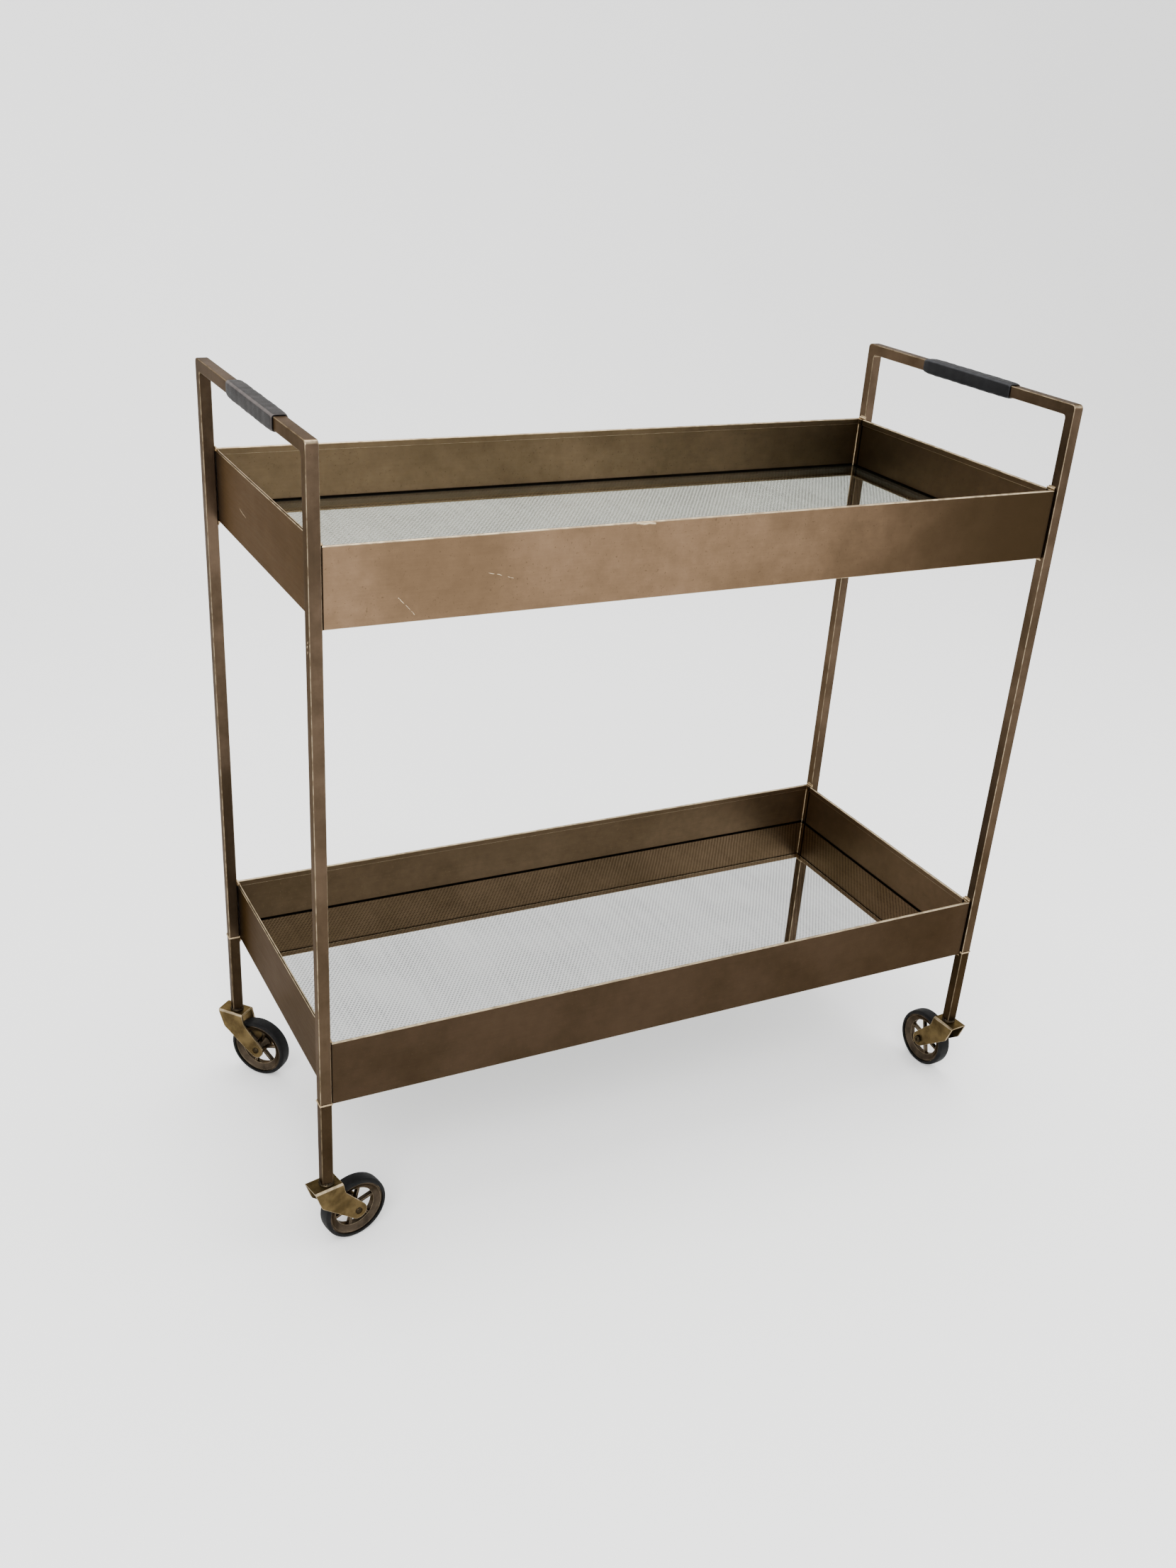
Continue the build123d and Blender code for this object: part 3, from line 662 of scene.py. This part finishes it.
class CART_OT_finish_frames(bpy.types.Operator):
    """Aged brass on the end frames and legs"""

    bl_idname = "cart.finish_frames"
    bl_label = "Finish the end frames"

    def execute(self, context):
        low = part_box("left_end_frame")[0]
        under_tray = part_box("upper_tray_walls")[0].z
        chip_places = ((4 * MM, 9 * MM), (6 * MM, 14 * MM), (4.5 * MM, 19 * MM))
        chip_run, chip_width = Vector((0, 1.2 * MM, -2 * MM)), 0.9 * MM
        chips = []
        for along, drop in chip_places:
            start = Vector((low.x, low.y + along, under_tray - drop))
            chips.append((start, start + chip_run, chip_width))
        rods = (500.0, 500.0, 22.0)
        # Painted shade low down and on the ends; painted highlights on rounded facets.
        tube = brass_material(
            "aged brass tube", (0.084, 0.057, 0.037), (0.034, 0.0225, 0.013),
            {"Facet": 0.9, "Breakup": 0.75, "Strength": 0.32},
            chips, Gloss=0.29, Clouds=13.0, Depth=0.7, Brush=rods, Smoke=0.55, Ends=0.5)
        # The legs' very dark tone is painted shade of the low parts.
        leg = brass_material(
            "aged brass leg", (0.029, 0.0185, 0.01), (0.015, 0.0092, 0.0048),
            {"Facet": 0.8, "Breakup": 0.75, "Strength": 0.18},
            Gloss=0.32, Clouds=20.0, Brush=rods, Smoke=0.2)
        for end in ENDS:
            dress(f"{end}_end_frame", tube)
        for corner in CORNERS:
            dress(f"leg_{corner}", leg)
        return {"FINISHED"}


class CART_OT_finish_trays(bpy.types.Operator):
    """Aged brass on the tray walls, with scratches, cloudy patina, painted shade and painted highlights
    """

    bl_idname = "cart.finish_trays"
    bl_label = "Finish the trays"

    def execute(self, context):
        patina = context.scene.cart_patina
        low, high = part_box("upper_tray_walls")

        def on_front(along, drop):
            return (low.x + along, low.y, high.z - drop)

        def on_left(from_rear, drop):
            return (low.x, high.y - from_rear, high.z - drop)

        marks = (
            (on_front(71 * MM, 53 * MM), on_front(91 * MM, 74 * MM), SCRATCH_WIDTH),
            (on_front(160 * MM, 37 * MM), on_front(185 * MM, 44 * MM), SCRATCH_WIDTH),
            (on_front(313 * MM, 1 * MM), on_front(332 * MM, 2 * MM), 1.6 * MM),
            (on_left(99 * MM, 39 * MM), on_left(122 * MM, 43 * MM), 0.5 * MM),
        )
        sheet = (22.0, 22.0, 380.0)
        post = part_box("left_end_frame")[1]
        seam = {"Half length": high.x, "Post side": post.y - POST_SIDE}
        seams = [{**seam, "Panel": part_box(panel)[1].z} for panel in ("upper_glass", "lower_mirror")]
        # Upper tray: painted shade towards the right and on the ends, painted highlight along the rim.
        upper = brass_material(
            "aged brass upper tray", patina.tone, patina.shade,
            {"Facet": 1.0, "Rim": high.z, "Breakup": 0.6, "Strength": 0.7},
            marks, seam=seams[0], Gloss=0.35, Clouds=5.0, Depth=0.52, Brush=sheet, Smoke=0.0, Ends=0.7,
            Olive=0.8, Fade=0.95, **{"Shade ramp start": 0.05, "Shade ramp end": 0.42})
        # Painted shade: the lower tray's tones are darkened, and its inner faces are painted lighter.
        lower = brass_material(
            "aged brass lower tray", tuple(channel * 0.2 for channel in patina.tone),
            tuple(channel * 0.3 for channel in patina.shade),
            {"Facet": 1.0, "Rim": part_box("lower_tray_walls")[1].z, "Breakup": 0.5, "Strength": 0.6},
            seam=seams[1], Gloss=0.33, Clouds=5.0, Depth=0.55, Brush=sheet, Smoke=0.0, Ends=0.2,
            Olive=0.5, Inside=2.0)
        ledge = ledge_material("dull ledge")
        for tier, material in zip(TIERS, (upper, lower)):
            dress(f"{tier}_tray_walls", material)
            dress(f"{tier}_tray_ledge", ledge)
        return {"FINISHED"}


class CART_OT_lay_panels(bpy.types.Operator):
    """Clear glass in the upper tray and a mirror in the lower tray, both with a painted woven reflection
    """

    bl_idname = "cart.lay_panels"
    bl_label = "Lay the panels"

    def execute(self, context):
        # Both panels get the painted woven reflection.
        dress("upper_glass", glass_material("clear panel", (0.56, 0.58, 0.525), (0.2, 0.215, 0.19)))
        dress("lower_mirror", mirror_material("mirror", (0.6, 0.605, 0.595), (0.2, 0.205, 0.205)))
        return {"FINISHED"}


class CART_OT_run_welds(bpy.types.Operator):
    """Rippled weld beads at the legs, the tray rims and the trays' inner corners"""

    bl_idname = "cart.run_welds"
    bl_label = "Run the welds"

    def execute(self, context):
        weld = context.scene.cart_weld
        bead = brass_material("weld metal", (0.4, 0.3, 0.18), (0.1, 0.067, 0.035),
                              {"Width": SMALL_EDGE, "Strength": 0.5}, Gloss=0.26, Clouds=90.0, Smoke=0.0)
        for tier in TIERS:
            dress(f"{tier}_tray_welds", bead)
        dress("leg_welds", bead)
        size = (weld.ripple * 2.2, weld.width, weld.width * 0.7)
        seams, fillets = [], []
        for tier, panel in zip(TIERS, ("upper_glass", "lower_mirror")):
            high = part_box(panel)[1]
            wall_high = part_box(f"{tier}_tray_walls")[1]
            for side_x, side_y in ((-1, -1), (-1, 1), (1, -1), (1, 1)):
                x = side_x * (high.x + PANEL_CLEARANCE)
                y = side_y * (high.y + PANEL_CLEARANCE)
                seams.append([(x, y, high.z), (x, y, wall_high.z - HEM_DEPTH)])
                x = side_x * (wall_high.x - 0.9 * MM)
                start, end = side_y * (wall_high.y - 12 * MM), side_y * (wall_high.y - 2 * MM)
                above_rim = wall_high.z + 1.2 * MM
                fillets.append([(x, start, above_rim), (x, end, above_rim)])
        rings = []
        for corner in CORNERS:
            low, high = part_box(f"leg_{corner}")
            out = 0.15 * MM
            rings.append([(low.x - out, low.y - out, high.z), (high.x + out, low.y - out, high.z),
                          (high.x + out, high.y + out, high.z), (low.x - out, high.y + out, high.z),
                          (low.x - out, low.y - out, high.z)])
        runs = {
            "inner_corner_seams": (seams, size),
            "rim_weld_beads": (fillets, (weld.ripple * 2.2, weld.width * 1.5, weld.width * 1.1)),
            "leg_weld_beads": (rings, (weld.ripple * 2, weld.width * 0.8, weld.width * 1.1)),
        }
        for name, (paths, bead_size) in runs.items():
            run = beads(name, paths, bead, weld.ripple, bead_size, 0.15)
            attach(run, "cart")
        return {"FINISHED"}


class CART_OT_sew_grips(bpy.types.Operator):
    """Stitched leather sleeves on the handle bars"""

    bl_idname = "cart.sew_grips"
    bl_label = "Sew the grips"

    def execute(self, context):
        # Both sleeves are one leather; the right one's darker tones are painted shade.
        shades = {"left": ((0.006, 0.005, 0.0048), (0.034, 0.029, 0.027)),
                  "right": ((0.0025, 0.0025, 0.003), (0.011, 0.011, 0.012))}
        for end in ENDS:
            leather = leather_material(f"{end} grip leather", *shades[end])
            sleeve = sleeve_object(f"{end}_grip_sleeve", f"{end}_grip", leather, context.scene.cart_grip)
            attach(sleeve, "cart")
            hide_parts(f"{end}_grip")
            sew(end, context.scene.cart_grip)
        return {"FINISHED"}


def sleeve_section(half, corner, steps=6):
    """Points round a rounded square, counter-clockwise."""
    points = []
    for quarter in range(4):
        for step in range(steps + 1):
            angle = math.pi / 2 * (quarter + step / steps)
            centre = Vector((1 if quarter in (0, 3) else -1, 1 if quarter < 2 else -1)) * (half - corner)
            points.append(centre + Vector((math.cos(angle), math.sin(angle))) * corner)
    return points


def sleeve_object(name, node, material, grip):
    """Leather tube with rolled ends, a gap round the bar and soft creases."""
    low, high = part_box(node)
    middle_x, middle_z = (low.x + high.x) / 2, (low.z + high.z) / 2
    half = (high.x - low.x) / 2
    length = high.y - low.y
    end_pull, taper = 0.9 * MM, 13 * MM     # how much the ends draw in, over what length
    roll = 0.6 * MM                         # rounding of the rolled end
    slack = 0.2 * MM                        # creases stay inside the sleeve's outer size
    mouth = half - end_pull - grip.wall
    end = [(7 * MM, BAR_REACH), (0.8 * MM, mouth), (0, mouth + 0.5 * MM), (0, half - 1.4 * MM)]
    stations = [(low.y + inwards, reach) for inwards, reach in end]
    steps = 44
    for step in range(steps + 1):
        share = step / steps
        along = low.y + roll + share * (length - 2 * roll)
        end_gap = min(along - low.y, high.y - along)
        pull = end_pull * max(0.0, 1 - end_gap / taper) ** 1.5
        crease = 0.1 * MM * math.sin(share * 61) + 0.08 * MM * math.sin(share * 23 + half * 900)
        stations.append((along, half - slack - pull + crease))
    stations += [(high.y - inwards, reach) for inwards, reach in reversed(end)]
    work = bmesh.new()
    rings = []
    for along, reach in stations:
        section = sleeve_section(reach, min(grip.corner, reach * 0.6))
        rings.append([work.verts.new((middle_x + point.x, along, middle_z + point.y))
                      for point in section])
    for here, there in zip(rings, rings[1:] + rings[:1]):
        count = len(here)
        for index in range(count):
            after = (index + 1) % count
            work.faces.new((here[index], here[after], there[after], there[index]))
    bmesh.ops.recalc_face_normals(work, faces=work.faces)
    mesh = bpy.data.meshes.new(name)
    work.to_mesh(mesh)
    work.free()
    return make_object(name, mesh, material, smooth_angle=60)


def sew(end, grip):
    """Two rows of stitches beside the seam under the sleeve."""
    low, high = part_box(f"{end}_grip")
    middle = (low.x + high.x) / 2
    under = low.z + 0.2 * MM
    beside_seam, from_end = 2.2 * MM, 6 * MM
    thread = thread_material(f"{end} grip thread", (0.075, 0.065, 0.055))
    rows = []
    for side in (-1, 1):
        x = middle + side * beside_seam
        rows.append([(x, low.y + from_end, under), (x, high.y - from_end, under)])
    stitches = beads(f"{end}_grip_stitches", rows, thread, grip.pitch,
                     (grip.pitch * 0.72, 0.8 * MM, 0.7 * MM), 0.06)
    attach(stitches, "cart")


class CART_OT_finish_casters(bpy.types.Operator):
    """Aged brass forks, bolts, nuts, stems and washers"""

    bl_idname = "cart.finish_casters"
    bl_label = "Finish the casters"

    def execute(self, context):
        even = (260.0, 260.0, 260.0)
        # The bright folds of the fork are painted highlights.
        fork = brass_material("aged brass fork", (0.1, 0.07, 0.031), (0.034, 0.023, 0.01),
                              {"Fold": 0.8, "Breakup": 0.5, "Width": 0.8 * MM, "Strength": 0.6},
                              bump=0.05, Gloss=0.3, Clouds=45.0, Depth=0.8, Brush=even, Smoke=0.0)
        bolt = brass_material("bolt brass", (0.022, 0.016, 0.009), (0.009, 0.0065, 0.004),
                              {"Width": SMALL_EDGE, "Strength": 0.3},
                              Gloss=0.3, Clouds=120.0, Brush=even, Smoke=0.0)
        steel = brass_material("dark steel", (0.04, 0.033, 0.026), (0.015, 0.012, 0.01),
                               {"Width": SMALL_EDGE, "Strength": 0.4},
                               Gloss=0.35, Clouds=120.0, Brush=even, Smoke=0.0)
        bush, tree, shader = new_material("bearing bush", Specular_IOR_Level=0.4)
        surface = placed_group(tree, "Scuffed rubber", {
            "Tone": (0.05, 0.045, 0.04), "Dust": (0.11, 0.1, 0.09)})
        tree.put(shader.inputs["Base Color"], surface["Color"])
        tree.put(shader.inputs["Roughness"], surface["Roughness"])
        tree.put(shader.inputs["Normal"], bumped(tree, surface["Height"], 0.15, FINE_HEIGHT))
        pieces = {"fork": fork, "axle_bolt": bolt, "axle_nut": bolt, "caster_stem": steel,
                  "swivel_washer": bolt, "leg_insert": steel, "hub_bushing": bush}
        for corner in CORNERS:
            for piece, material in pieces.items():
                dress(f"{piece}_{corner}", material)
        return {"FINISHED"}


class CART_OT_cast_wheels(bpy.types.Operator):
    """Bronze wheels"""

    bl_idname = "cart.cast_wheels"
    bl_label = "Cast the wheels"

    def execute(self, context):
        bronze = brass_material("cast bronze", (0.052, 0.039, 0.027), (0.016, 0.0125, 0.009),
                                {"Width": 0.6 * MM, "Strength": 0.5},
                                Gloss=0.25, Clouds=60.0, Brush=(300.0, 300.0, 300.0), Smoke=0.0)
        for corner in CORNERS:
            dress(f"wheel_{corner}", bronze)
        return {"FINISHED"}


class CART_OT_mould_tyres(bpy.types.Operator):
    """Black rubber tyres, scuffed and dusty"""

    bl_idname = "cart.mould_tyres"
    bl_label = "Mould the tyres"

    def execute(self, context):
        rubber = rubber_material("black rubber")
        for corner in CORNERS:
            dress(f"tyre_{corner}", rubber)
        return {"FINISHED"}


class CART_OT_build_stage(bpy.types.Operator):
    """Pale floor and sweep, soft lights and the camera"""

    bl_idname = "cart.build_stage"
    bl_label = "Build the stage"

    def execute(self, context):
        sweep = sweep_object()
        soft_light("key", (-1.6, -2.4, 2.6), (0, 0, 0.5), 2.2, 150)
        soft_light("fill", (2.6, -1.6, 1.8), (0, 0, 0.4), 2.0, 24)
        soft_light("top", (0.2, 0.6, 3.2), (0, 0, 0.4), 2.4, 90)
        world = context.scene.world or bpy.data.worlds.new("studio")
        context.scene.world = world
        world.use_nodes = True
        backdrop = world.node_tree.nodes["Background"]
        backdrop.inputs["Color"].default_value = (1, 1, 1, 1)
        backdrop.inputs["Strength"].default_value = 1.75
        add_camera(context)
        return {"FINISHED"}


def sweep_object():
    """Floor that curves up into a backdrop behind the cart."""
    width, front, back, radius, height = 14.0, -7.0, 4.0, 2.0, 5.0
    profile = [(front, 0.0), (back - radius, 0.0)]
    steps = 16
    for step in range(1, steps + 1):
        angle = math.pi / 2 * step / steps
        profile.append((back - radius + radius * math.sin(angle), radius - radius * math.cos(angle)))
    profile.append((back, height))
    points = [(side * width / 2, y, z) for y, z in profile for side in (-1, 1)]
    faces = [(2 * i, 2 * i + 1, 2 * i + 3, 2 * i + 2) for i in range(len(profile) - 1)]
    mesh = bpy.data.meshes.new("studio_sweep")
    mesh.from_pydata(points, [], faces)
    material, tree, shader = new_material("pale floor", Roughness=0.85)
    cloud = tree.noise(object_coordinates(tree), 2.0, 4.0)
    tree.put(shader.inputs["Base Color"], tree.mix(cloud, (0.86, 0.86, 0.855), (0.9, 0.9, 0.895)))
    return make_object("studio_sweep", mesh, material, smooth_angle=60)


def soft_light(name, place, aim, size, power):
    light = bpy.data.lights.new(name, "AREA")
    light.size = size
    light.energy = power
    obj = bpy.data.objects.new(name, light)
    obj.location = place
    obj.rotation_euler = (Vector(aim) - Vector(place)).to_track_quat("-Z", "Y").to_euler()
    bpy.context.scene.collection.objects.link(obj)
    return obj


def add_camera(context):
    """Camera standing to the front left of the cart, looking down on it."""
    camera = bpy.data.cameras.new("viewpoint")
    camera.sensor_width = 36
    camera.lens = 34.7
    camera.shift_x = -0.0025
    camera.shift_y = 0.0389
    obj = bpy.data.objects.new("viewpoint", camera)
    obj.location = (-0.8073, -1.4230, 1.1815)
    heading, dip, roll = 28.646, 27.496, 4.106
    turn = Euler((math.radians(90 - dip), 0, math.radians(-heading)), "XYZ").to_matrix()
    obj.rotation_euler = (turn @ Matrix.Rotation(math.radians(roll), 3, "Z")).to_euler()
    context.scene.collection.objects.link(obj)
    context.scene.camera = obj


OPERATORS = (
    CART_OT_finish_frames,
    CART_OT_finish_trays,
    CART_OT_lay_panels,
    CART_OT_run_welds,
    CART_OT_sew_grips,
    CART_OT_finish_casters,
    CART_OT_cast_wheels,
    CART_OT_mould_tyres,
    CART_OT_build_stage,
)


class CART_PT_panel(bpy.types.Panel):
    """Bar cart tools"""

    bl_idname = "CART_PT_panel"
    bl_label = "Bar Cart"
    bl_space_type = "VIEW_3D"
    bl_region_type = "UI"
    bl_category = "Bar Cart"

    def draw(self, context):
        for name, group in GROUPS.items():
            settings = getattr(context.scene, name)
            column = self.layout.column(align=True)
            for prop in group.__annotations__:
                column.prop(settings, prop)
        for operator in OPERATORS:
            self.layout.operator(operator.bl_idname)


def register():
    for group in GROUPS.values():
        bpy.utils.register_class(group)
    for name, group in GROUPS.items():
        setattr(bpy.types.Scene, name, bpy.props.PointerProperty(type=group))
    for operator in OPERATORS:
        bpy.utils.register_class(operator)
    bpy.utils.register_class(CART_PT_panel)


def unregister():
    bpy.utils.unregister_class(CART_PT_panel)
    for operator in reversed(OPERATORS):
        bpy.utils.unregister_class(operator)
    for name, group in GROUPS.items():
        delattr(bpy.types.Scene, name)
        bpy.utils.unregister_class(group)


def main():
    register()
    for operator in OPERATORS:
        area, action = operator.bl_idname.split(".")
        getattr(getattr(bpy.ops, area), action)()


if __name__ == "__main__":
    main()
